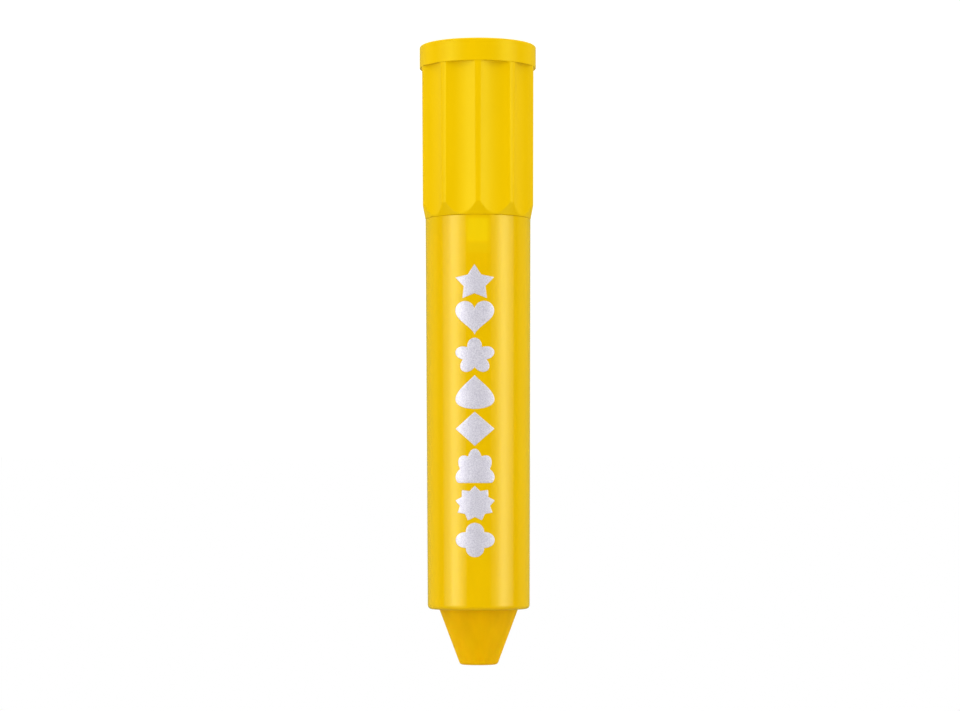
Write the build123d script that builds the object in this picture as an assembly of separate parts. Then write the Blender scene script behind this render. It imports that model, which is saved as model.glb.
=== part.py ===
"""A chubby twist-up crayon: a wax stick in a barrel, fed by a screw that the fluted knob turns.

Millimetres. +Z runs along the crayon's axis towards its drawing tip, and z = 0 is the knob's end face,
which the crayon stands on. The printed front of the barrel and one land of the knob face -Y.
Every sub-part is drawn where it lies in the assembled crayon, with the wax standing out by its cone.
"""

from build123d import *

import os
from math import atan, cos, degrees, pi

# --- Driving dimensions -------------------------------------------------------------------------

OVERALL_LENGTH = 85.4
SEAM_Z = 24.2  # where the barrel's visible part begins, just past the knob
MOUTH_Z = 77.8  # the barrel's open end, where the wax comes out
BARREL_RADIUS_AT_SEAM = 7.26
BARREL_RADIUS_AT_MOUTH = 7.0
MOUTH_ROUND = 0.55
SEAM_ROUND = 0.1  # on the barrel's shoulder and on the knob's edge that meets it

RIM_RADIUS = 8.06  # the plain band at the knob's end
RIM_HEIGHT = 3.1
RIM_ROUND = 0.3
LAND_RADIUS_AT_RIM = 8.0  # the lands between the flutes stand a hair inside the rim
LAND_RADIUS_AT_TAPER = 7.92  # and draw in a little towards the barrel
FLUTE_COUNT = 10
FLUTE_CUTTER_RADIUS = 8.0  # each flute is a shallow concave arc of this radius
FLUTE_FLOOR_AT_RIM = 7.44  # crayon axis to the deepest line of a flute, at the rim
FLUTE_FLOOR_AT_SEAM = 7.32
TAPER_LENGTH = 1.7  # the knob narrows to the barrel over this length, where the flutes end as lobes

WAX_RADIUS = 5.4
WAX_TIP_RADIUS = 2.56
WAX_TIP_ROUND = 0.5

THREAD_STARTS = 2
THREAD_LEAD = 4.0  # feed for one turn of the knob
FEED_OUT = 43.0  # how far the wax can still be fed out from the pose drawn here
FEED_BACK = 9.0  # how far it can be drawn back, which hides the tip in the barrel

# --- Fits ---------------------------------------------------------------------------------------

SEAM_GAP = 0.12
BEARING_GAP = 0.1  # knob on barrel neck, and nut in barrel bore
WAX_GAP = 0.15  # wax in barrel bore
THREAD_GAP = 0.18
PRESS_GAP = 0.03  # between pieces that are pressed together, so that their solids stay apart

# --- Sizes worked out from them -----------------------------------------------------------------

BORE_RADIUS = WAX_RADIUS + WAX_GAP
NECK_RADIUS = 6.5
KNOB_BORE_RADIUS = NECK_RADIUS + BEARING_GAP
KNOB_FRONT_Z = SEAM_Z - SEAM_GAP
KNOB_TAPER_Z = KNOB_FRONT_Z - TAPER_LENGTH

PLUG_SEAT_RADIUS = 7.0
PLUG_SEAT_DEPTH = 2.0
PLUG_RECESS = 0.15  # the plug sits this far inside the rim, so that the crayon stands on the rim
HEAD_ACROSS_FLATS = 11.5
HEAD_TOP_Z = 4.6
LEDGE_TOP_Z = 5.8
JOURNAL_RADIUS = 2.95

NECK_END_Z = 6.7
SNAP_Z = 19.5
SNAP_HEIGHT = 0.25  # how far the knob's bead stands into its bore
SNAP_GROOVE_DEPTH = 0.3

KEY_COUNT = 2  # to the left and right of the printed front
KEY_DEPTH = 0.3
KEY_WIDTH = 1.4
KEY_SIDE_GAP = 0.15

THREAD_ROOT_RADIUS = 1.75
THREAD_CREST_RADIUS = 2.3
THREAD_ROOT_WIDTH = 1.1
THREAD_CREST_WIDTH = 0.6
THREAD_START_Z = 7.2
SCREW_END_Z = 66.0

NUT_Z = 17.0
NUT_LENGTH = 5.0
NUT_RADIUS = BORE_RADIUS - BEARING_GAP
STEM_RADIUS = 4.2
STEM_BARB = 0.2
STEM_LENGTH = 2.2
KEY_INSET = 0.4  # the nut's keys stop this far short of its two ends

CUP_Z = NUT_Z + NUT_LENGTH
CUP_LENGTH = 12.0
CUP_FLOOR = 1.2
CUP_INNER_RADIUS = 4.8
CUP_FRONT_Z = CUP_Z + CUP_LENGTH
ANCHOR_Z = CUP_Z + 4.4  # a groove in the cup that the cast wax locks into
ANCHOR_DEPTH = 0.22
ANCHOR_HALF_WIDTH = 0.6

WAX_FOOT_Z = CUP_Z + STEM_LENGTH
WAX_CONE_Z = MOUTH_Z + 0.05
WAX_BORE_RADIUS = THREAD_CREST_RADIUS + 0.3
WAX_BORE_END_Z = SCREW_END_Z + FEED_BACK + 0.5

KEYWAY_END_Z = NUT_Z + NUT_LENGTH - KEY_INSET + FEED_OUT + 0.6


# --- Helpers ------------------------------------------------------------------------------------


def turned(points):
    """The solid that a closed outline of (radius, z) points makes when it turns about the Z axis."""
    outline = make_face(Plane.XZ * Polyline(*points, close=True))
    return revolve(outline, Axis.Z)


def circular_edges(shape, radius, z):
    """The circular edges of that radius at that height."""
    return [
        edge
        for edge in shape.edges().filter_by(GeomType.CIRCLE)
        if abs(edge.radius - radius) < 1e-3 and abs(edge.center().Z - z) < 1e-3
    ]


def around(shape, count, first_angle=0.0):
    """Copies of a shape at equal angles about the Z axis."""
    return [Rot(0, 0, first_angle + 360 / count * k) * shape for k in range(count)]


def tube(outer, inner, low, high):
    return turned([(inner, low), (outer, low), (outer, high), (inner, high)])


def thread_ridges(low, high, gap=0.0):
    """The left-hand thread's ridges, one solid for each start, grown all round by gap."""
    foot = THREAD_ROOT_RADIUS + gap - 0.15  # each ridge is sunk a little into the rod that carries it
    slope = (THREAD_ROOT_WIDTH - THREAD_CREST_WIDTH) / 2 / (THREAD_CREST_RADIUS - THREAD_ROOT_RADIUS)
    crest = THREAD_CREST_RADIUS + gap
    crest_half = THREAD_CREST_WIDTH / 2 + gap - slope * gap
    foot_half = crest_half + slope * (crest - foot)
    ridges = []
    for start in range(THREAD_STARTS):
        path = Helix(THREAD_LEAD, high - low, foot, center=(0, 0, low), lefthand=True)
        profile = Polyline(
            (foot, 0, low - foot_half),
            (crest, 0, low - crest_half),
            (crest, 0, low + crest_half),
            (foot, 0, low + foot_half),
            close=True,
        )
        ridge = sweep(make_face(profile), path=path, is_frenet=True)
        ridges.append(Rot(0, 0, 360 / THREAD_STARTS * start) * ridge)
    return ridges


def nut_tap():
    """The threaded rod that is cut out of the nut: the screw's thread where it passes, grown by the gap."""
    low, high = NUT_Z - THREAD_LEAD, CUP_Z + THREAD_LEAD
    turn_at_low = -360 * (low - THREAD_START_Z) / THREAD_LEAD
    tap = Pos(0, 0, low - 1) * extrude(Circle(THREAD_ROOT_RADIUS + THREAD_GAP), high - low + 2)
    for ridge in thread_ridges(low, high, THREAD_GAP):
        tap += Rot(0, 0, turn_at_low) * ridge
    return tap


# --- The barrel ---------------------------------------------------------------------------------


def barrel():
    groove_low, groove_high = SNAP_Z - 0.75, SNAP_Z + 0.75
    groove_radius = NECK_RADIUS - SNAP_GROOVE_DEPTH
    shape = turned(
        [
            (BORE_RADIUS + 0.15, NECK_END_Z),
            (NECK_RADIUS - 0.2, NECK_END_Z),
            (NECK_RADIUS, NECK_END_Z + 0.6),
            (NECK_RADIUS, groove_low - SNAP_GROOVE_DEPTH),
            (groove_radius, groove_low),
            (groove_radius, groove_high),
            (NECK_RADIUS, groove_high),
            (NECK_RADIUS, SEAM_Z),
            (BARREL_RADIUS_AT_SEAM, SEAM_Z),
            (BARREL_RADIUS_AT_MOUTH, MOUTH_Z),
            (BORE_RADIUS + 0.15, MOUTH_Z),
            (BORE_RADIUS, MOUTH_Z - 0.15),
            (BORE_RADIUS, NECK_END_Z + 0.15),
        ]
    )
    shape = fillet(circular_edges(shape, BARREL_RADIUS_AT_MOUTH, MOUTH_Z), MOUTH_ROUND)
    shape = fillet(circular_edges(shape, BARREL_RADIUS_AT_SEAM, SEAM_Z), SEAM_ROUND)
    keyway_width = KEY_WIDTH + 2 * KEY_SIDE_GAP
    keyway = Pos(0, 0, NECK_END_Z - 1) * extrude(
        Rectangle(BORE_RADIUS + KEY_DEPTH, keyway_width, align=(Align.MIN, Align.CENTER)),
        KEYWAY_END_Z - NECK_END_Z + 1,
    )
    for slot in around(keyway, KEY_COUNT):
        shape -= slot
    return shape


# --- The knob and what turns with it ------------------------------------------------------------


def knob_envelope():
    """The knob before its flutes are cut: hollow, with its seats for the plug and the screw's head."""
    seat_groove_z = PLUG_SEAT_DEPTH * 0.6
    bead_low, bead_high = SNAP_Z - 0.45, SNAP_Z + 0.2
    shape = turned(
        [
            (PLUG_SEAT_RADIUS, 0),
            (RIM_RADIUS, 0),
            (RIM_RADIUS, RIM_HEIGHT),
            (LAND_RADIUS_AT_RIM, RIM_HEIGHT),
            (LAND_RADIUS_AT_TAPER, KNOB_TAPER_Z),
            (BARREL_RADIUS_AT_SEAM, KNOB_FRONT_Z),
            (KNOB_BORE_RADIUS + 0.25, KNOB_FRONT_Z),
            (KNOB_BORE_RADIUS, KNOB_FRONT_Z - 0.5),
            (KNOB_BORE_RADIUS, bead_high + 0.3),
            (KNOB_BORE_RADIUS - SNAP_HEIGHT, bead_high),
            (KNOB_BORE_RADIUS - SNAP_HEIGHT, bead_low),
            (KNOB_BORE_RADIUS, bead_low - 0.15),
            (KNOB_BORE_RADIUS, LEDGE_TOP_Z),
            (JOURNAL_RADIUS + PRESS_GAP, LEDGE_TOP_Z),
            (JOURNAL_RADIUS + PRESS_GAP, PLUG_SEAT_DEPTH),
            (PLUG_SEAT_RADIUS, PLUG_SEAT_DEPTH),
            (PLUG_SEAT_RADIUS, seat_groove_z + 0.3),
            (PLUG_SEAT_RADIUS + 0.12, seat_groove_z + 0.15),
            (PLUG_SEAT_RADIUS + 0.12, seat_groove_z - 0.15),
            (PLUG_SEAT_RADIUS, seat_groove_z - 0.3),
        ]
    )
    pocket_across_corners = (HEAD_ACROSS_FLATS + 2 * PRESS_GAP) / cos(pi / 6)
    pocket = extrude(RegularPolygon(pocket_across_corners / 2, 6), HEAD_TOP_Z)
    shape -= pocket
    shape = fillet(circular_edges(shape, RIM_RADIUS, 0), RIM_ROUND)
    return fillet(circular_edges(shape, BARREL_RADIUS_AT_SEAM, KNOB_FRONT_Z), SEAM_ROUND)


def twist_knob():
    """Ten concave flutes start square at the plain rim and run out through the tapered front end."""
    shape = knob_envelope()
    length = KNOB_FRONT_Z - RIM_HEIGHT
    lean = degrees(atan((FLUTE_FLOOR_AT_RIM - FLUTE_FLOOR_AT_SEAM) / length))
    rod = extrude(Pos(FLUTE_CUTTER_RADIUS, 0) * Circle(FLUTE_CUTTER_RADIUS), length + 1)
    cutter = Pos(FLUTE_FLOOR_AT_RIM, 0, RIM_HEIGHT) * Rot(0, -lean, 0) * rod
    half_pitch = 180 / FLUTE_COUNT
    for flute in around(cutter, FLUTE_COUNT, 90 + half_pitch):
        shape -= flute
    return shape


def end_plug():
    """A shallow dished disc that snaps into the knob's end and keeps the screw's head in its pocket."""
    radius = PLUG_SEAT_RADIUS - PRESS_GAP
    bead_z = PLUG_SEAT_DEPTH * 0.6
    top_z = PLUG_SEAT_DEPTH - 0.05
    return turned(
        [
            (0, PLUG_RECESS + 0.35),
            (4.6, PLUG_RECESS + 0.35),
            (5.0, PLUG_RECESS),
            (radius - 0.15, PLUG_RECESS),
            (radius, PLUG_RECESS + 0.15),
            (radius, bead_z - 0.25),
            (radius + 0.1, bead_z - 0.1),
            (radius + 0.1, bead_z + 0.1),
            (radius, bead_z + 0.25),
            (radius, top_z - 0.15),
            (radius - 0.15, top_z),
            (0, top_z),
        ]
    )


def lead_screw():
    """A six-sided head that the knob drives, a plain journal, and a rod with a two-start thread."""
    head_z = PLUG_SEAT_DEPTH + 0.05
    across_corners = HEAD_ACROSS_FLATS / cos(pi / 6)
    head = Pos(0, 0, head_z) * extrude(
        RegularPolygon(across_corners / 2, 6), HEAD_TOP_Z - PRESS_GAP - head_z
    )
    rod = turned(
        [
            (0, head_z),
            (JOURNAL_RADIUS, head_z),
            (JOURNAL_RADIUS, LEDGE_TOP_Z + 0.3),
            (THREAD_ROOT_RADIUS, THREAD_START_Z - 0.2),
            (THREAD_ROOT_RADIUS, SCREW_END_Z - 1.2),
            (THREAD_ROOT_RADIUS - 0.9, SCREW_END_Z),
            (0, SCREW_END_Z),
        ]
    )
    screw = head + rod
    for ridge in thread_ridges(THREAD_START_Z, SCREW_END_Z - 2.4):
        screw += ridge
    return screw


def drag_ring():
    """A soft ring between the knob's ledge and the neck's end. It keeps the knob from turning by itself."""
    low, high = LEDGE_TOP_Z, NECK_END_Z - PRESS_GAP
    shape = tube(NECK_RADIUS, BORE_RADIUS - 0.2, low, high)
    return fillet(shape.edges().filter_by(GeomType.CIRCLE), 0.25)


# --- The wax and what slides with it ------------------------------------------------------------


def drive_nut():
    """Threaded on the screw and keyed to the barrel's bore, so that it slides when the knob turns."""
    stem_top = CUP_Z + STEM_LENGTH
    shape = turned(
        [
            (0, NUT_Z),
            (NUT_RADIUS - 0.2, NUT_Z),
            (NUT_RADIUS, NUT_Z + 0.2),
            (NUT_RADIUS, CUP_Z),
            (STEM_RADIUS, CUP_Z),
            (STEM_RADIUS, CUP_Z + CUP_FLOOR + PRESS_GAP),
            (STEM_RADIUS + STEM_BARB, CUP_Z + CUP_FLOOR + PRESS_GAP),
            (STEM_RADIUS - 0.3, stem_top),
            (WAX_BORE_RADIUS + 0.1, stem_top),
            (WAX_BORE_RADIUS + 0.1, CUP_Z),
            (0, CUP_Z - 0.8),
        ]
    )
    shape -= nut_tap()
    key_radius = BORE_RADIUS + KEY_DEPTH - BEARING_GAP
    key = Pos(NUT_RADIUS - 0.5, 0, NUT_Z + KEY_INSET) * extrude(
        Rectangle(key_radius - NUT_RADIUS + 0.5, KEY_WIDTH, align=(Align.MIN, Align.CENTER)),
        NUT_LENGTH - 2 * KEY_INSET,
    )
    for lug in around(key, KEY_COUNT):
        shape += lug
    return shape


def anchor_groove(wall_radius):
    """The outline points, going up, of the groove in the cup's wall, or of the wax that fills it."""
    return [
        (wall_radius, ANCHOR_Z - ANCHOR_HALF_WIDTH),
        (wall_radius + ANCHOR_DEPTH, ANCHOR_Z - ANCHOR_HALF_WIDTH + ANCHOR_DEPTH),
        (wall_radius + ANCHOR_DEPTH, ANCHOR_Z + ANCHOR_HALF_WIDTH - ANCHOR_DEPTH),
        (wall_radius, ANCHOR_Z + ANCHOR_HALF_WIDTH),
    ]


def core_cup():
    """The cup that the wax is cast into. Its floor snaps over the nut's stem."""
    return turned(
        [
            (STEM_RADIUS + PRESS_GAP, CUP_Z),
            (NUT_RADIUS, CUP_Z),
            (NUT_RADIUS, CUP_FRONT_Z - 0.2),
            (NUT_RADIUS - 0.2, CUP_FRONT_Z),
            (CUP_INNER_RADIUS, CUP_FRONT_Z),
            *reversed(anchor_groove(CUP_INNER_RADIUS)),
            (CUP_INNER_RADIUS, CUP_Z + CUP_FLOOR),
            (STEM_RADIUS + PRESS_GAP, CUP_Z + CUP_FLOOR),
        ]
    )


def wax_core():
    """A spigot cast in the cup, a plain cylinder and a blunt cone, with a blind hole for the screw."""
    dome = WAX_BORE_RADIUS * 0.6
    shape = turned(
        [
            (WAX_BORE_RADIUS, WAX_FOOT_Z),
            (CUP_INNER_RADIUS, WAX_FOOT_Z),
            *anchor_groove(CUP_INNER_RADIUS),
            (CUP_INNER_RADIUS, CUP_FRONT_Z),
            (WAX_RADIUS, CUP_FRONT_Z),
            (WAX_RADIUS, WAX_CONE_Z),
            (WAX_TIP_RADIUS, OVERALL_LENGTH),
            (0, OVERALL_LENGTH),
            (0, WAX_BORE_END_Z),
            (WAX_BORE_RADIUS - dome, WAX_BORE_END_Z),
            (WAX_BORE_RADIUS, WAX_BORE_END_Z - dome),
        ]
    )
    return fillet(circular_edges(shape, WAX_TIP_RADIUS, OVERALL_LENGTH), WAX_TIP_ROUND)


# --- Write one STEP for each sub-part -----------------------------------------------------------

SUB_PARTS = {
    "barrel": barrel,
    "twist_knob": twist_knob,
    "end_plug": end_plug,
    "lead_screw": lead_screw,
    "drag_ring": drag_ring,
    "drive_nut": drive_nut,
    "core_cup": core_cup,
    "wax_core": wax_core,
}

os.makedirs("parts", exist_ok=True)
for name, make in SUB_PARTS.items():
    export_step(make(), f"parts/{name}.step")
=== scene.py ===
"""The looks of a twist-up crayon: glossy translucent barrel, fluted satin knob, wax and silver print."""

from math import asin, atan2, cos, degrees, hypot, pi, radians, sin, tan

import bmesh
import bpy
import numpy as np
from mathutils import Euler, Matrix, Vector


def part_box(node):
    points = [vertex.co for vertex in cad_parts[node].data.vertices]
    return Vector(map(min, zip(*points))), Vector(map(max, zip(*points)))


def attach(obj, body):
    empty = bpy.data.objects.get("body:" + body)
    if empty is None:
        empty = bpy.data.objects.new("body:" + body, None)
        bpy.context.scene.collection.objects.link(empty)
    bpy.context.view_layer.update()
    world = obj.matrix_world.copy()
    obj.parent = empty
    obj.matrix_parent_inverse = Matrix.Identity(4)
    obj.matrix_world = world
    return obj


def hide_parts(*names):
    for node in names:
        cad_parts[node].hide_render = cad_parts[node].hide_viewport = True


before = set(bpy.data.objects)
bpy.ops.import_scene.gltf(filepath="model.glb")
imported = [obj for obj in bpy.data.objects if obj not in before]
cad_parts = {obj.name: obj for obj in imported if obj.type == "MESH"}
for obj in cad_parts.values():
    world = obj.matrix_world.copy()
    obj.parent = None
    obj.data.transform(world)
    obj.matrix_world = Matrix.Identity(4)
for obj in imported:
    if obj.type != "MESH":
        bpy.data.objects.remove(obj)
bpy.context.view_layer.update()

# Lengths are in millimetres, and MM turns them into Blender's metres.
MM = 0.001


def in_mm(node):
    """The lowest and highest corners of a node's box."""
    low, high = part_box(node)
    return low / MM, high / MM


KNOB_FAR = in_mm("twist_knob")[1]
BARREL_FAR = in_mm("barrel")[1]
WAX_FAR = in_mm("wax_core")[1]
CUP_FAR = in_mm("core_cup")[1]
PLUG_NEAR, PLUG_FAR = in_mm("end_plug")

RIM_RADIUS = KNOB_FAR.x
KNOB_FRONT = KNOB_FAR.z
SEAM_RADIUS = BARREL_FAR.x
SEAM_GAP = 0.03
SEAM = KNOB_FRONT + SEAM_GAP
MOUTH = BARREL_FAR.z
MOUTH_RADIUS = 7.0
BORE_RADIUS = 5.55
WAX_RADIUS = WAX_FAR.x
TIP = WAX_FAR.z


# --- Mesh helpers -------------------------------------------------------------------------------

# A fillet has a point at least every ARC_STEP degrees and takes at most REACH_SHARE of a run. A run longer
# than LONG_RUN has an extra point HOLD from each end.
ARC_STEP = 12.0
REACH_SHARE = 0.45
HOLD = 0.15
LONG_RUN = 0.61
MERGE = 0.0005
LATHE_COLUMNS = 192


def arc(before, here, after, fillet):
    """The points of the fillet at the corner here, an arc that touches both of the corner's runs."""
    before, here, after = Vector(before), Vector(here), Vector(after)
    back, on = before - here, after - here
    turn = back.angle(on)
    reach = min(fillet / tan(turn / 2), REACH_SHARE * back.length, REACH_SHARE * on.length)
    radius = reach * tan(turn / 2)
    u, v = back.normalized(), on.normalized()
    centre = here + (u + v).normalized() * (radius / sin(turn / 2))
    start, end = here + u * reach - centre, here + v * reach - centre
    parts = max(2, int(degrees(pi - turn) / ARC_STEP))
    first = atan2(start.y, start.x)
    sweep = (atan2(end.y, end.x) - first + pi) % (2 * pi) - pi
    angles = [first + sweep * k / parts for k in range(parts + 1)]
    return [(centre.x + radius * cos(a), centre.y + radius * sin(a)) for a in angles]


def rounded(corners):
    """An outline through (radius, z, fillet) corners, with extra points near the ends of each long run that
    keep its shading clean."""
    points = [corners[0][:2]]
    for before, here, after in zip(corners, corners[1:], corners[2:]):
        fillet = here[2]
        points += arc(before[:2], here[:2], after[:2], fillet) if fillet else [here[:2]]
    points.append(corners[-1][:2])
    held = []
    for (r, z), (next_r, next_z) in zip(points, points[1:]):
        held.append((r, z))
        length = hypot(next_r - r, next_z - z)
        if length > LONG_RUN:
            for share in (HOLD / length, 1 - HOLD / length):
                held.append((r + (next_r - r) * share, z + (next_z - z) * share))
    return held + points[-1:]


def add_mesh(name, vertices, faces, sharp=40):
    """A smooth mesh object from points in millimetres, with points that coincide made one."""
    mesh = bpy.data.meshes.new(name)
    mesh.from_pydata([Vector(v) * MM for v in vertices], [], faces)
    work = bmesh.new()
    work.from_mesh(mesh)
    bmesh.ops.remove_doubles(work, verts=work.verts, dist=MERGE * MM)
    work.to_mesh(mesh)
    work.free()
    mesh.validate()
    mesh.shade_smooth()
    mesh.set_sharp_from_angle(angle=radians(sharp))
    piece = bpy.data.objects.new(name, mesh)
    bpy.context.scene.collection.objects.link(piece)
    return piece


def skin(name, rows, closed=True):
    """A surface through rows of points that each go once round the axis. A row that has shrunk to a point
    on the axis becomes a single vertex. A closed one joins its last row to its first."""
    vertices, faces, starts, sizes = [], [], [], []
    for row in rows:
        if np.abs(row[:, :2]).max() < 1e-6:
            row = row[:1]
        starts.append(len(vertices))
        sizes.append(len(row))
        vertices.extend(row.tolist())
    pairs = [(i, i + 1) for i in range(len(rows) - 1)]
    if closed:
        pairs.append((len(rows) - 1, 0))
    for a, b in pairs:
        count = max(sizes[a], sizes[b])
        for k in range(count):
            n = (k + 1) % count
            near = [starts[a] + k % sizes[a], starts[a] + n % sizes[a]]
            far = [starts[b] + n % sizes[b], starts[b] + k % sizes[b]]
            face = list(dict.fromkeys(near + far))
            if len(face) > 2:
                faces.append(face)
    return add_mesh(name, vertices, faces)


def turns(count):
    """That many angles, evenly spaced round the axis."""
    return np.arange(count) * 2 * pi / count


def circle_row(r, z, angles):
    """A row at height z. r is one radius, or one for each angle."""
    return np.stack([r * np.cos(angles), r * np.sin(angles), np.full(len(angles), z)], axis=1)


def lathe(name, corners):
    """A solid of revolution from an outline that starts and ends on the axis."""
    angles = turns(LATHE_COLUMNS)
    return skin(name, [circle_row(r, z, angles) for r, z in rounded(corners)], closed=False)


# --- Node helpers -------------------------------------------------------------------------------


class Graph:
    """A node tree, with short ways to add to it."""

    def __init__(self, tree):
        self.nodes, self.links = tree.nodes, tree.links

    def add(self, kind, inputs, **settings):
        """A new node. Each input is a value, or another node's output to link to."""
        node = self.nodes.new("ShaderNode" + kind)
        for setting, value in settings.items():
            setattr(node, setting, value)
        for socket, value in inputs.items():
            self.give(node, socket, value)
        return node

    def give(self, node, socket, value):
        """Set a socket to a value, or link another node's output to it."""
        if isinstance(value, bpy.types.NodeSocket):
            self.links.new(value, node.inputs[socket])
        else:
            node.inputs[socket].default_value = value

    def math(self, operation, *values):
        """The result of an operation on one or two values or outputs."""
        return self.add("Math", dict(enumerate(values)), operation=operation).outputs["Value"]

    def spread(self, factor, low, high, start=0.3, end=0.7, soft=False):
        """low where the factor is start or less, rising or falling to high where it is end or more."""
        ends = {"From Min": start, "From Max": end, "To Min": low, "To Max": high}
        shape = "SMOOTHSTEP" if soft else "LINEAR"
        return self.add("MapRange", {"Value": factor, **ends}, interpolation_type=shape).outputs["Result"]

    def mix(self, factor, a, b, kind="RGBA"):
        """a where the factor is 0, and b where it is 1."""
        return self.add("Mix", {"Factor": factor, "A": a, "B": b}, data_type=kind).outputs["Result"]

    def split(self, vector):
        """The vector's three numbers, by axis."""
        axes = self.add("SeparateXYZ", {"Vector": vector}).outputs
        return {axis: axes[axis] for axis in "XYZ"}


class Look(Graph):
    """A material made of nodes round one Principled shader."""

    def __init__(self, name, **sockets):
        self.material = bpy.data.materials.new(name)
        self.material.use_nodes = True
        super().__init__(self.material.node_tree)
        self.shader = self.nodes["Principled BSDF"]
        for socket, value in sockets.items():
            self.give(self.shader, socket.replace("_", " "), value)
        self.place = self.add("TexCoord", {}).outputs["Object"]

    def noise(self, scale, detail, roughness=0.5, stretch=(1, 1, 1)):
        """Noise of that many cells to the metre. An axis with a stretch under 1 has longer cells."""
        place = self.add("Mapping", {"Vector": self.place, "Scale": stretch}).outputs["Vector"]
        settings = {"Vector": place, "Scale": scale, "Detail": detail, "Roughness": roughness}
        return self.add("TexNoise", settings).outputs["Fac"]

    def ramp(self, factor, *stops):
        """A colour that runs between two (factor, colour) stops."""
        ramp = self.add("ValToRGB", {"Fac": factor})
        for element, (position, colour) in zip(ramp.color_ramp.elements, stops):
            element.position = position
            element.color = colour
        return ramp.outputs["Color"]

    def band(self, axis, low, high, soft):
        """1 where the surface lies from low to high along an axis, and 0 a soft edge further."""
        along = self.split(self.place)[axis]
        rise = self.spread(along, 0.0, 1.0, (low - soft) * MM, low * MM, soft=True)
        fall = self.spread(along, 0.0, 1.0, (high + soft) * MM, high * MM, soft=True)
        return self.math("MULTIPLY", rise, fall)

    def to(self, socket, output):
        self.give(self.shader, socket, output)

    def bump(self, height, depth):
        """Relief from the height output, which is that deep from 0 to 1."""
        bump = self.add("Bump", {"Height": height, "Distance": depth * MM, "Strength": 1.0})
        self.to("Normal", bump.outputs["Normal"])


def wear(piece, look):
    piece.data.materials.clear()
    piece.data.materials.append(look.material)


# --- Materials ----------------------------------------------------------------------------------

# Painted light on the barrel's front, a paler patch and line where the feed mechanism would show through the
# plastic: start and end past the seam, and how green their yellow is.
PAINTED_LIGHT_PATCH = (0.8, 3.4, 0.70)
PAINTED_LIGHT_LINE = (4.1, 4.9, 0.665)


def barrel_look():
    """Glossy translucent yellow plastic, with the faint waviness of a moulded tube. Just past the knob its
    front is painted paler: painted light, where light from the feed mechanism would show through."""
    look = Look(
        "barrel_plastic",
        IOR=1.49,
        Specular_IOR_Level=0.5,
        Specular_Tint=(0.84, 0.95, 0.03, 1),
        Coat_Weight=0.5,
        Coat_Roughness=0.03,
    )
    clouds = look.noise(260, detail=3, stretch=(1, 1, 0.25))
    yellow = look.ramp(clouds, (0.3, (0.98, 0.61, 0.0004, 1)), (0.7, (1.0, 0.64, 0.0008, 1)))
    front = look.math("MULTIPLY", look.band("X", -1.0, 1.1, 0.9), look.band("Y", -8.0, -6.0, 0.5))

    def painted_light_band(low, high, soft):
        """The mask of the painted light: 1 on the front from low to high past the seam."""
        return look.math("MULTIPLY", front, look.band("Z", SEAM + low, SEAM + high, soft))

    # Paint the paler, greener yellow of the painted light into the base colour.
    for low, high, green in (PAINTED_LIGHT_PATCH, PAINTED_LIGHT_LINE):
        yellow = look.mix(painted_light_band(low, high, 0.6), yellow, (1.0, green, 0.003, 1))
    look.to("Base Color", yellow)
    # Where the painted light is, the plastic also lets less light through.
    painted_light_mask = painted_light_band(PAINTED_LIGHT_PATCH[0], PAINTED_LIGHT_PATCH[1], 0.8)
    look.to("Transmission Weight", look.spread(painted_light_mask, 0.33, 0.27, 0.0, 1.0))
    look.to("Roughness", look.spread(look.noise(900, detail=4), 0.2, 0.26))
    look.bump(look.noise(420, detail=2, stretch=(1, 1, 0.15)), depth=0.012)
    return look


def knob_look():
    """Satin yellow plastic with a fine moulded grain."""
    look = Look("knob_plastic", IOR=1.46, Specular_IOR_Level=0.52, Specular_Tint=(0.8, 0.9, 0.08, 1))
    flow = look.noise(240, detail=4, stretch=(1, 1, 0.3))
    yellow = look.ramp(flow, (0.3, (0.73, 0.458, 0.0003, 1)), (0.7, (0.76, 0.478, 0.0006, 1)))
    look.to("Base Color", yellow)
    look.to("Roughness", look.spread(look.noise(400, detail=2), 0.21, 0.27))
    look.bump(look.noise(420, detail=2, stretch=(1, 1, 0.2)), depth=0.008)
    return look


def wax_look():
    """Orange yellow wax: soft and slightly mottled, with faint drag marks along the stick."""
    look = Look(
        "wax",
        IOR=1.43,
        Specular_IOR_Level=0.12,
        Specular_Tint=(1.0, 0.7, 0.1, 1),
        Subsurface_Weight=0.3,
        Subsurface_Scale=1.5 * MM,
        Subsurface_Radius=(1.0, 0.5, 0.1),
    )
    mottle = look.noise(600, detail=4, stretch=(1, 1, 0.1))
    orange = look.ramp(mottle, (0.3, (0.70, 0.385, 0.0003, 1)), (0.7, (0.78, 0.43, 0.0008, 1)))
    look.to("Base Color", orange)
    look.to("Roughness", look.spread(look.noise(1300, detail=4), 0.42, 0.6))
    look.bump(look.noise(1000, detail=5, stretch=(1, 1, 0.12)), depth=0.03)
    return look


def feed_look(name, dark, light, roughness):
    """Plain moulded plastic or rubber for the pieces of the feed mechanism."""
    look = Look(name)
    look.to("Base Color", look.ramp(look.noise(500, detail=4), (0.3, dark), (0.7, light)))
    look.to("Roughness", look.spread(look.noise(1800, detail=4), roughness - 0.06, roughness + 0.06))
    look.bump(look.noise(2400, detail=3), depth=0.012)
    return look


def foil_look():
    """Silver ink: a fine metallic speckle, uneven where the ink lies thin."""
    look = Look("silver_print", Metallic=0.45, Specular_IOR_Level=0.6)
    speckle = look.noise(6500, detail=2, roughness=0.7)
    silver = look.ramp(speckle, (0.32, (0.60, 0.575, 0.67, 1)), (0.68, (0.88, 0.86, 0.93, 1)))
    look.to("Base Color", silver)
    look.to("Roughness", look.spread(look.noise(2500, detail=3), 0.38, 0.55))
    look.bump(look.noise(6000, detail=2), depth=0.006)
    return look


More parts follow.
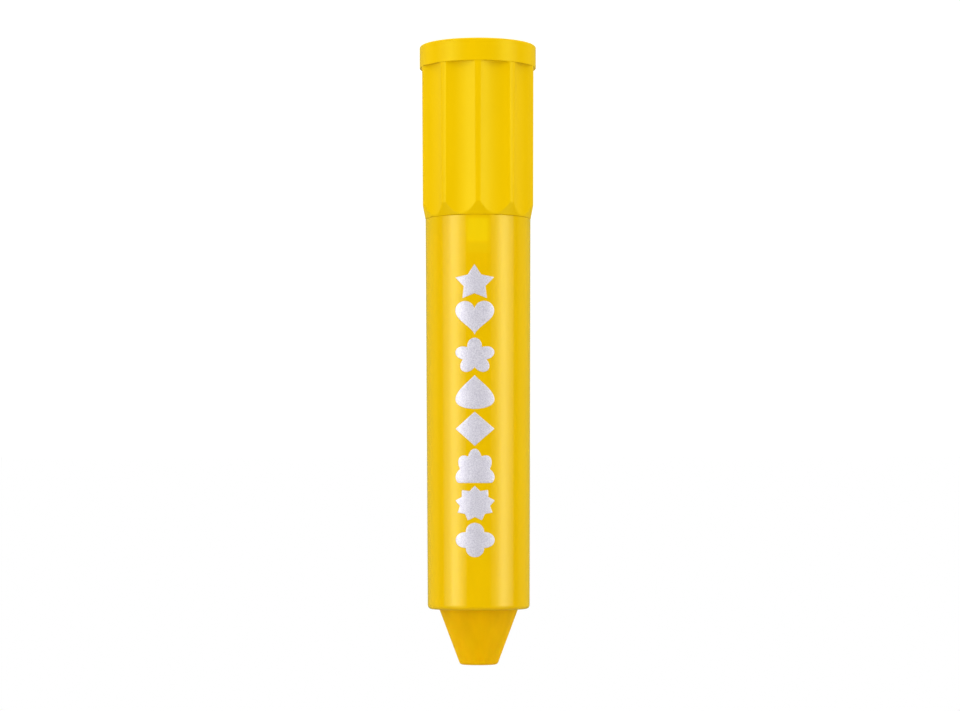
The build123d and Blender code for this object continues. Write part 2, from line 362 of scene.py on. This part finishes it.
BARREL_LOOK = barrel_look()
KNOB_LOOK = knob_look()
WAX_LOOK = wax_look()
CUP_LOOK = feed_look("feed_plastic", (0.80, 0.50, 0.02, 1), (0.87, 0.57, 0.035, 1), 0.42)
SCREW_LOOK = feed_look("white_plastic", (0.74, 0.74, 0.71, 1), (0.82, 0.82, 0.79, 1), 0.4)
RUBBER_LOOK = feed_look("drag_rubber", (0.018, 0.018, 0.018, 1), (0.035, 0.034, 0.033, 1), 0.72)
FOIL_LOOK = foil_look()


# --- The barrel ---------------------------------------------------------------------------------

NECK_RADIUS = 6.5
NECK_END = 6.7
NECK_LEAD = 0.2
SNAP_DEPTH = 0.3
SNAP_START = 18.75
SNAP_END = 20.25
BORE_EDGE = 0.15
MOUTH_ROUND = 0.55
KEY_HALF_WIDTH = 0.85
KEY_FLOOR = 5.85
KEYWAY_END = 65.2
COLUMN_STEP = 1.5


def barrel_columns():
    """Column angles, closer together at the two keyways, with a column on each of their edges."""
    edge = asin(KEY_HALF_WIDTH / BORE_RADIUS)
    corner = atan2(KEY_HALF_WIDTH, KEY_FLOOR)
    near = [-edge, -corner, -corner / 2, 0, corner / 2, corner, edge]
    clear = degrees(edge) + COLUMN_STEP / 2
    steps = np.arange(COLUMN_STEP, 180, COLUMN_STEP)
    plain = [radians(a) for a in steps if clear < a < 180 - clear]
    half = near[3:] + plain + [pi + a for a in near[:3]]
    return np.array([a % (2 * pi) for a in half + [pi + a for a in half]])


def keyed_row(z, columns):
    """The bore with its two keyways, which have flat floors."""
    row = circle_row(BORE_RADIUS, z, columns)
    slope = np.tan(columns)
    on_floor = np.abs(slope) <= KEY_HALF_WIDTH / KEY_FLOOR + 1e-6
    floor = np.sign(row[:, 0]) * KEY_FLOOR
    row[on_floor, 0] = floor[on_floor]
    row[on_floor, 1] = (floor * slope)[on_floor]
    return row


def make_barrel():
    columns = barrel_columns()
    snap_radius = NECK_RADIUS - SNAP_DEPTH
    outline = rounded(
        [
            (BORE_RADIUS + BORE_EDGE, NECK_END, 0),
            (NECK_RADIUS - NECK_LEAD, NECK_END, 0),
            (NECK_RADIUS, NECK_END + 3 * NECK_LEAD, 0.1),
            (NECK_RADIUS, SNAP_START - SNAP_DEPTH, 0),
            (snap_radius, SNAP_START, 0),
            (snap_radius, SNAP_END, 0),
            (NECK_RADIUS, SNAP_END, 0),
            (NECK_RADIUS, SEAM, 0),
            (SEAM_RADIUS, SEAM, 0.05),
            (MOUTH_RADIUS, MOUTH, MOUTH_ROUND),
            (BORE_RADIUS, MOUTH, 0),
        ]
    )
    bore = [
        (BORE_RADIUS + BORE_EDGE, MOUTH),
        (BORE_RADIUS + 0.04, MOUTH - 0.05),
        (BORE_RADIUS, MOUTH - BORE_EDGE),
        (BORE_RADIUS, MOUTH - 0.4),
        (BORE_RADIUS, KEYWAY_END + HOLD),
        (BORE_RADIUS, KEYWAY_END),
    ]
    rows = [circle_row(r, z, columns) for r, z in outline[:-1] + bore]
    for z in (KEYWAY_END, KEYWAY_END - HOLD, NECK_END + 2 * BORE_EDGE, NECK_END + BORE_EDGE):
        rows.append(keyed_row(z, columns))
    return skin("barrel_shell", rows)


# --- The knob -----------------------------------------------------------------------------------

KNOB_COLUMNS = 480
FLUTES = 10
FLUTE_CUTTER = 8.0
FLOOR_AT_RIM = 7.44
FLOOR_AT_SEAM = 7.32
RIM_HEIGHT = 3.1
LAND_AT_RIM = 8.0
LAND_AT_TAPER = 7.92
TAPER = KNOB_FRONT - 1.7
EDGE_SOFTNESS = 0.07
SOCKET_RADIUS = 6.6
SOCKET_EDGE = 0.25
SOCKET_FLOOR = 5.8
SNAP_RIDGE = 0.25
SNAP_RIDGE_LOW, SNAP_RIDGE_HIGH = 19.05, 19.7
SCREW_HOLE_RADIUS = 2.98
POCKET_RADIUS = 6.69
POCKET_ROOF = 4.6
SEAT_RADIUS = 7.0
SEAT_ROOF = 2.0
SEAT_EDGE = 0.12
PLUG_GROOVE = 0.12
PLUG_GROOVE_MIDDLE = 1.2


def soft_min(a, b, k):
    """The smaller of a and b, with the corner where they cross rounded over about k."""
    h = np.maximum(k - np.abs(a - b), 0) / k
    return np.minimum(a, b) - h * h * k / 4


def between(z, low, high, at_low, at_high):
    """The value at z on a straight line from at_low to at_high."""
    return at_low + (at_high - at_low) * (z - low) / (high - low)


def fluted(z, angles):
    """The knob's outer radius at height z above the rim, all the way round."""
    if z <= TAPER:
        land = between(z, RIM_HEIGHT, TAPER, LAND_AT_RIM, LAND_AT_TAPER)
    else:
        land = between(z, TAPER, KNOB_FRONT, LAND_AT_TAPER, SEAM_RADIUS)
    centre = between(z, RIM_HEIGHT, KNOB_FRONT, FLOOR_AT_RIM, FLOOR_AT_SEAM) + FLUTE_CUTTER
    pitch = 2 * pi / FLUTES
    off = (angles + pi / 2) % pitch - pitch / 2
    flute = centre * np.cos(off) - np.sqrt(np.maximum(FLUTE_CUTTER**2 - (centre * np.sin(off)) ** 2, 0))
    return soft_min(np.full(len(angles), land), flute, EDGE_SOFTNESS)


def make_knob():
    columns = turns(KNOB_COLUMNS)
    rim = rounded(
        [
            (SEAT_RADIUS, 0, 0),
            (RIM_RADIUS, 0, 0.3),
            (RIM_RADIUS, RIM_HEIGHT, 0.06),
            (SEAT_RADIUS, RIM_HEIGHT, 0),
        ]
    )
    rows = [circle_row(r, z, columns) for r, z in rim[:-3]]
    base = fluted(RIM_HEIGHT, columns)
    for wider, higher in ((0.10, 0.0), (0.03, 0.01), (0.0, 0.05)):
        rows.append(circle_row(np.minimum(base + wider, RIM_RADIUS - 0.05), RIM_HEIGHT + higher, columns))
    straight = np.linspace(RIM_HEIGHT + 0.2, TAPER - 0.2, 5)
    taper = np.linspace(TAPER - 0.05, KNOB_FRONT - 0.1, 40)
    for z in [*straight, *taper]:
        rows.append(circle_row(fluted(z, columns), z, columns))
    front_edge = [
        (SEAM_RADIUS - 0.003, KNOB_FRONT - 0.03),
        (SEAM_RADIUS - 0.015, KNOB_FRONT - 0.01),
        (SEAM_RADIUS - 0.04, KNOB_FRONT),
    ]
    ridge, groove = SOCKET_RADIUS - SNAP_RIDGE, SEAT_RADIUS + PLUG_GROOVE
    socket = [
        (SOCKET_RADIUS + SOCKET_EDGE, KNOB_FRONT),
        (SOCKET_RADIUS, KNOB_FRONT - 2 * SOCKET_EDGE),
        (SOCKET_RADIUS, SNAP_RIDGE_HIGH + 0.3),
        (ridge, SNAP_RIDGE_HIGH),
        (ridge, SNAP_RIDGE_LOW),
        (SOCKET_RADIUS, SNAP_RIDGE_LOW - 0.15),
        (SOCKET_RADIUS, SOCKET_FLOOR),
    ]
    screw_seat = [
        (SCREW_HOLE_RADIUS, SOCKET_FLOOR),
        (SCREW_HOLE_RADIUS, POCKET_ROOF),
        (POCKET_RADIUS, POCKET_ROOF),
        (POCKET_RADIUS, SEAT_ROOF),
    ]
    plug_seat = [
        (SEAT_RADIUS, SEAT_ROOF),
        (SEAT_RADIUS, PLUG_GROOVE_MIDDLE + 0.3),
        (groove, PLUG_GROOVE_MIDDLE + 0.15),
        (groove, PLUG_GROOVE_MIDDLE - 0.15),
        (SEAT_RADIUS, PLUG_GROOVE_MIDDLE - 0.3),
        (SEAT_RADIUS, SEAT_EDGE),
    ]
    for r, z in front_edge + socket + screw_seat + plug_seat:
        rows.append(circle_row(r, z, columns))
    return skin("knob_shell", rows)


# --- The wax ------------------------------------------------------------------------------------

TIP_RADIUS = 2.56
WAX_FOOT = 24.2
FOOT_RADIUS = 4.8
RIDGE_START = 25.8
RIDGE_END = 27.0
RIDGE_DEPTH = 0.22
WAX_BORE_RADIUS = 2.6
WAX_BORE_END = 75.5


def make_wax():
    """The stick, with the blind bore that the screw runs in, a ridged foot in the cup, and its blunt cone."""
    blunt = 0.4 * WAX_BORE_RADIUS
    corners = [
        (0, WAX_BORE_END, 0),
        (blunt, WAX_BORE_END, 0.5),
        (WAX_BORE_RADIUS, WAX_BORE_END - (WAX_BORE_RADIUS - blunt), 0.5),
        (WAX_BORE_RADIUS, WAX_FOOT, 0.05),
        (FOOT_RADIUS, WAX_FOOT, 0.05),
        (FOOT_RADIUS, RIDGE_START, 0),
        (FOOT_RADIUS + RIDGE_DEPTH, RIDGE_START + RIDGE_DEPTH, 0),
        (FOOT_RADIUS + RIDGE_DEPTH, RIDGE_END - RIDGE_DEPTH, 0),
        (FOOT_RADIUS, RIDGE_END, 0),
        (FOOT_RADIUS, CUP_FAR.z, 0),
        (WAX_RADIUS, CUP_FAR.z, 0.05),
        (WAX_RADIUS, MOUTH + 0.05, 0.08),
        (TIP_RADIUS, TIP, 0.5),
        (0, TIP, 0),
    ]
    return lathe("wax_stick", corners)


# --- The end plug -------------------------------------------------------------------------------

PLUG_RADIUS = 6.97
BEAD = 0.1
BEAD_MIDDLE = 1.05
DISH_DEPTH = 0.35
DISH_RADIUS = 4.55
NUB_RADIUS = 0.45
NUB_HEIGHT = 0.12
WELL_RADIUS = 1.5
WELL_DEPTH = 0.25


def make_plug():
    """The disc in the knob's end: dished, with the nub that its moulding gate left in a shallow well."""
    low = PLUG_NEAR.z
    dish = low + DISH_DEPTH
    middle = low + BEAD_MIDDLE
    corners = [
        (0, dish - NUB_HEIGHT, 0),
        (NUB_RADIUS, dish - NUB_HEIGHT, 0.08),
        (NUB_RADIUS + 0.15, dish + WELL_DEPTH, 0.05),
        (WELL_RADIUS, dish + WELL_DEPTH, 0.06),
        (WELL_RADIUS + 0.12, dish, 0.06),
        (DISH_RADIUS, dish, 0.2),
        (DISH_RADIUS + 0.5, low, 0.12),
        (PLUG_RADIUS, low, 0.15),
        (PLUG_RADIUS, middle - 0.25, 0.05),
        (PLUG_RADIUS + BEAD, middle - 0.1, 0.05),
        (PLUG_RADIUS + BEAD, middle + 0.1, 0.05),
        (PLUG_RADIUS, middle + 0.25, 0.05),
        (PLUG_RADIUS, PLUG_FAR.z, 0.15),
        (0, PLUG_FAR.z, 0),
    ]
    return lathe("plug_disc", corners)


# --- The silver print ---------------------------------------------------------------------------

PRINT_LOW, PRINT_HIGH = 30.7, 70.8
PRINT_WIDTH = 5.4
PRINT_GAP = 0.4
PRINT_OFFSET = 0.5
PRINT_LIFT = 0.02
PRINT_RINGS = ((0.25, 1), (0.5, 1), (0.75, 1), (0.97, 1), (1, 0.6), (1.004, 0.1))
OUTLINE_POINTS = 120
CLOUD_BASE = -0.4


def spiked(count, inner):
    """A star with straight sides. The inner corners are that share of the outer ones' distance."""
    turn = turns(OUTLINE_POINTS)
    half = pi / count
    t = np.abs((turn + half) % (2 * half) - half)
    r = inner * sin(half) / (inner * np.sin(half - t) + np.sin(t))
    return np.stack([r * np.sin(turn), r * np.cos(turn)], axis=1)


def petalled(count, depth):
    """Round petals, with dents of that depth between them."""
    turn = turns(OUTLINE_POINTS)
    r = 1 - depth * (1 - np.abs(np.cos(turn * count / 2)))
    return np.stack([r * np.sin(turn), r * np.cos(turn)], axis=1)


def heart():
    """The usual heart curve, from sums of sines and cosines."""
    t = turns(OUTLINE_POINTS)
    across = np.sin(t) ** 3
    along = (13 * np.cos(t) - 5 * np.cos(2 * t) - 2 * np.cos(3 * t) - np.cos(4 * t) + 2.5) / 15
    return np.stack([across, along], axis=1)


def drop():
    """A pointed drop with a wide round bottom."""
    t = turns(OUTLINE_POINTS)
    return np.stack([0.9 * np.sin(t) * np.sin(t / 2) ** 1.5, np.cos(t)], axis=1)


def cloud():
    """Petals above a flat base."""
    outline = petalled(7, 0.25)
    low = outline[:, 1] < CLOUD_BASE
    outline[low] *= (CLOUD_BASE / outline[low, 1])[:, None]
    return outline


def fitted(outline, width, height):
    """The outline centred and stretched to that width and height."""
    low, high = outline.min(axis=0), outline.max(axis=0)
    return (outline - (low + high) / 2) / (high - low) * (width, height)


def on_barrel(across, z, lift):
    """The point that far across the barrel's front, and lift times the ink's thickness above it."""
    r = between(z, SEAM, MOUTH, SEAM_RADIUS, MOUTH_RADIUS) + lift * PRINT_LIFT
    a = -pi / 2 + (PRINT_OFFSET + across) / r
    return r * cos(a), r * sin(a), z


def make_print():
    """A column of chunky generic shapes along the barrel's front, upright when the knob is at the top."""
    shapes = [
        spiked(5, 0.55),
        heart(),
        petalled(5, 0.4),
        drop(),
        spiked(4, 0.7),
        cloud(),
        spiked(9, 0.75),
        petalled(4, 0.35),
    ]
    pitch = (PRINT_HIGH - PRINT_LOW) / len(shapes)
    vertices, faces = [], []
    for i, shape in enumerate(shapes):
        outline = fitted(shape, PRINT_WIDTH, pitch - PRINT_GAP)
        middle = PRINT_LOW + (i + 0.5) * pitch
        centre = len(vertices)
        starts = [centre + 1 + k * OUTLINE_POINTS for k in range(len(PRINT_RINGS))]
        vertices.append(on_barrel(0, middle, 1))
        for share, lift in PRINT_RINGS:
            for across, along in outline * share:
                vertices.append(on_barrel(across, middle - along, lift))
        for k in range(OUTLINE_POINTS):
            n = (k + 1) % OUTLINE_POINTS
            faces.append((centre, starts[0] + k, starts[0] + n))
            for a, b in zip(starts, starts[1:]):
                faces.append((b + k, b + n, a + n, a + k))
    return add_mesh("barrel_print", vertices, faces, sharp=60)


# --- Build the pieces ---------------------------------------------------------------------------

for make, look, body, node, slot in (
    (make_barrel, BARREL_LOOK, "barrel", "barrel", "barrel_plastic"),
    (make_knob, KNOB_LOOK, "knob", "twist_knob", "knob_plastic"),
    (make_plug, KNOB_LOOK, "knob", "end_plug", "knob_plastic"),
    (make_wax, WAX_LOOK, "carrier", "wax_core", "wax"),
    (make_print, FOIL_LOOK, "barrel", None, "silver_print"),
):
    piece = make()
    wear(piece, look)
    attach(piece, body)
    if node:
        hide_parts(node)

for node, look in (
    ("lead_screw", SCREW_LOOK),
    ("drag_ring", RUBBER_LOOK),
    ("drive_nut", CUP_LOOK),
    ("core_cup", CUP_LOOK),
):
    wear(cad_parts[node], look)


# --- Light cards --------------------------------------------------------------------------------

CARD_DISTANCE = 380.0
CARD_LOW, CARD_HIGH = -330.0, 420.0
CARD_STEPS = 48
GLOSS_MIDDLE = 15.0
GLOSS_FULL = 80.0
GLOSS_FADED = 122.0
GLOSS_LEFT = 0.2


def glow_material(name):
    """Light as strong as the mesh's glow attribute. Reflections see it fade above and below the crayon."""
    material = bpy.data.materials.new(name)
    material.use_nodes = True
    graph = Graph(material.node_tree)
    graph.nodes.clear()
    position = graph.add("NewGeometry", {}).outputs["Position"]
    height = graph.math("SUBTRACT", graph.split(position)["Z"], GLOSS_MIDDLE * MM)
    away = graph.math("ABSOLUTE", height)
    faded = graph.spread(away, 1.0, GLOSS_LEFT, GLOSS_FULL * MM, GLOSS_FADED * MM, soft=True)
    in_gloss = graph.add("LightPath", {}).outputs["Is Glossy Ray"]
    seen = graph.mix(in_gloss, 1.0, faded, kind="FLOAT")
    glow = graph.add("Attribute", {}, attribute_name="glow").outputs["Fac"]
    strength = graph.math("MULTIPLY", glow, seen)
    emission = graph.add("Emission", {"Color": (1, 1, 1, 1), "Strength": strength})
    graph.add("OutputMaterial", {"Surface": emission.outputs["Emission"]})
    return material


def light_card(name, stops):
    """A tall curved card of light. Its stops are (degrees round from the front, strength)."""
    places, strengths = zip(*sorted(stops))
    angles = np.linspace(places[0], places[-1], CARD_STEPS + 1)
    vertices, faces = [], []
    for angle in angles:
        a = radians(angle - 90)
        for z in (CARD_LOW, CARD_HIGH):
            vertices.append((CARD_DISTANCE * cos(a), CARD_DISTANCE * sin(a), z))
    for k in range(CARD_STEPS):
        faces.append((2 * k, 2 * k + 1, 2 * k + 3, 2 * k + 2))
    card = add_mesh(name, vertices, faces)
    glow = card.data.attributes.new("glow", "FLOAT", "POINT")
    glow.data.foreach_set("value", np.repeat(np.interp(angles, places, strengths), 2).astype(np.float32))
    card.data.materials.append(glow_material(name))
    card.visible_camera = False
    card.visible_shadow = False


light_card(
    "card_right",
    [(27, 0.6), (34, 1.2), (41, 2.4), (50, 4.0), (59, 4.1), (67, 2.0), (76, 1.0), (84, 0.6)],
)
light_card(
    "card_left",
    [(-27, 0.3), (-36, 0.7), (-43, 1.6), (-52, 3.6), (-60, 3.9), (-67, 2.8), (-76, 1.5), (-84, 0.7)],
)


# --- Floor --------------------------------------------------------------------------------------

FLOOR_HALF = 3000
FLOOR_DROP = 0.2
FLOOR_GREY = 0.3
FLOOR_GLOW = 0.92


def make_floor():
    """A plain white floor just under the crayon, for the camera only."""
    corners = [(x * FLOOR_HALF, y * FLOOR_HALF, -FLOOR_DROP) for x, y in ((-1, -1), (1, -1), (1, 1), (-1, 1))]
    floor = add_mesh("floor", corners, [(0, 1, 2, 3)])
    white = Look(
        "floor_white",
        Base_Color=(FLOOR_GREY, FLOOR_GREY, FLOOR_GREY, 1),
        Roughness=1.0,
        Specular_IOR_Level=0.0,
        Emission_Color=(1, 1, 1, 1),
        Emission_Strength=FLOOR_GLOW,
    )
    wear(floor, white)
    floor.visible_diffuse = False
    floor.visible_glossy = False
    floor.visible_transmission = False
    floor.visible_shadow = False


make_floor()


# --- Surrounding light --------------------------------------------------------------------------

FRONT_LIGHT = (0.08, 0.08, 0.07, 1)
BACK_LIGHT = (0.93, 0.93, 0.30, 1)
LIGHT_BELOW = (1.88, 1.88, 1.88, 1)
LIGHT_BELOW_IN_GLOSS = (0.7, 0.7, 0.45, 1)
LIGHT_ABOVE = (0.32, 0.32, 0.32, 1)
LIGHT_IN_GLOSS = 0.42


def light_world():
    """Dark in front and bright behind and below. The camera sees plain white, and reflections less light."""
    world = bpy.data.worlds.new("studio")
    bpy.context.scene.world = world
    world.use_nodes = True
    graph = Graph(world.node_tree)
    direction = graph.split(graph.add("TexCoord", {}).outputs["Generated"])
    path = graph.add("LightPath", {}).outputs
    steepness = graph.math("ABSOLUTE", direction["Z"])
    behind = graph.spread(direction["Y"], 0.0, 1.0, 0.12, 0.26, soft=True)
    upward = graph.spread(direction["Z"], 0.0, 1.0, -1.0, 1.0)
    steep = graph.spread(steepness, 0.0, 1.0, 0.45, 0.7, soft=True)
    level_light = graph.mix(behind, FRONT_LIGHT, BACK_LIGHT)
    below = graph.mix(path["Is Glossy Ray"], LIGHT_BELOW, LIGHT_BELOW_IN_GLOSS)
    steep_light = graph.mix(upward, below, LIGHT_ABOVE)
    light = graph.mix(steep, level_light, steep_light)
    background = graph.nodes["Background"]
    graph.give(background, "Color", graph.mix(path["Is Camera Ray"], light, (1, 1, 1, 1)))
    graph.give(background, "Strength", graph.mix(path["Is Glossy Ray"], 1.0, LIGHT_IN_GLOSS, kind="FLOAT"))


light_world()


# --- Camera -------------------------------------------------------------------------------------

VIEW_DISTANCE = 393.6
VIEW_RISE = 3.123
VIEW_HEIGHT = 42.94
VIEW_ROLL = 179.9
LENS = 106.9
SENSOR = 36.0
SHIFT = 0.0018


def place_camera():
    """In front and slightly above, rolled so that the crayon's tip points down."""
    rise = radians(VIEW_RISE)
    camera_data = bpy.data.cameras.new("camera")
    camera_data.sensor_width = SENSOR
    camera_data.lens = LENS
    camera_data.shift_x = SHIFT
    camera = bpy.data.objects.new("camera", camera_data)
    bpy.context.scene.collection.objects.link(camera)
    camera.location = Vector((0, -VIEW_DISTANCE * cos(rise), VIEW_HEIGHT + VIEW_DISTANCE * sin(rise))) * MM
    tilt, roll = Euler((pi / 2 - rise, 0, 0)), Euler((0, 0, radians(VIEW_ROLL)))
    camera.rotation_euler = (tilt.to_matrix() @ roll.to_matrix()).to_euler()
    bpy.context.scene.camera = camera
    bpy.context.scene.view_settings.view_transform = "Standard"


place_camera()
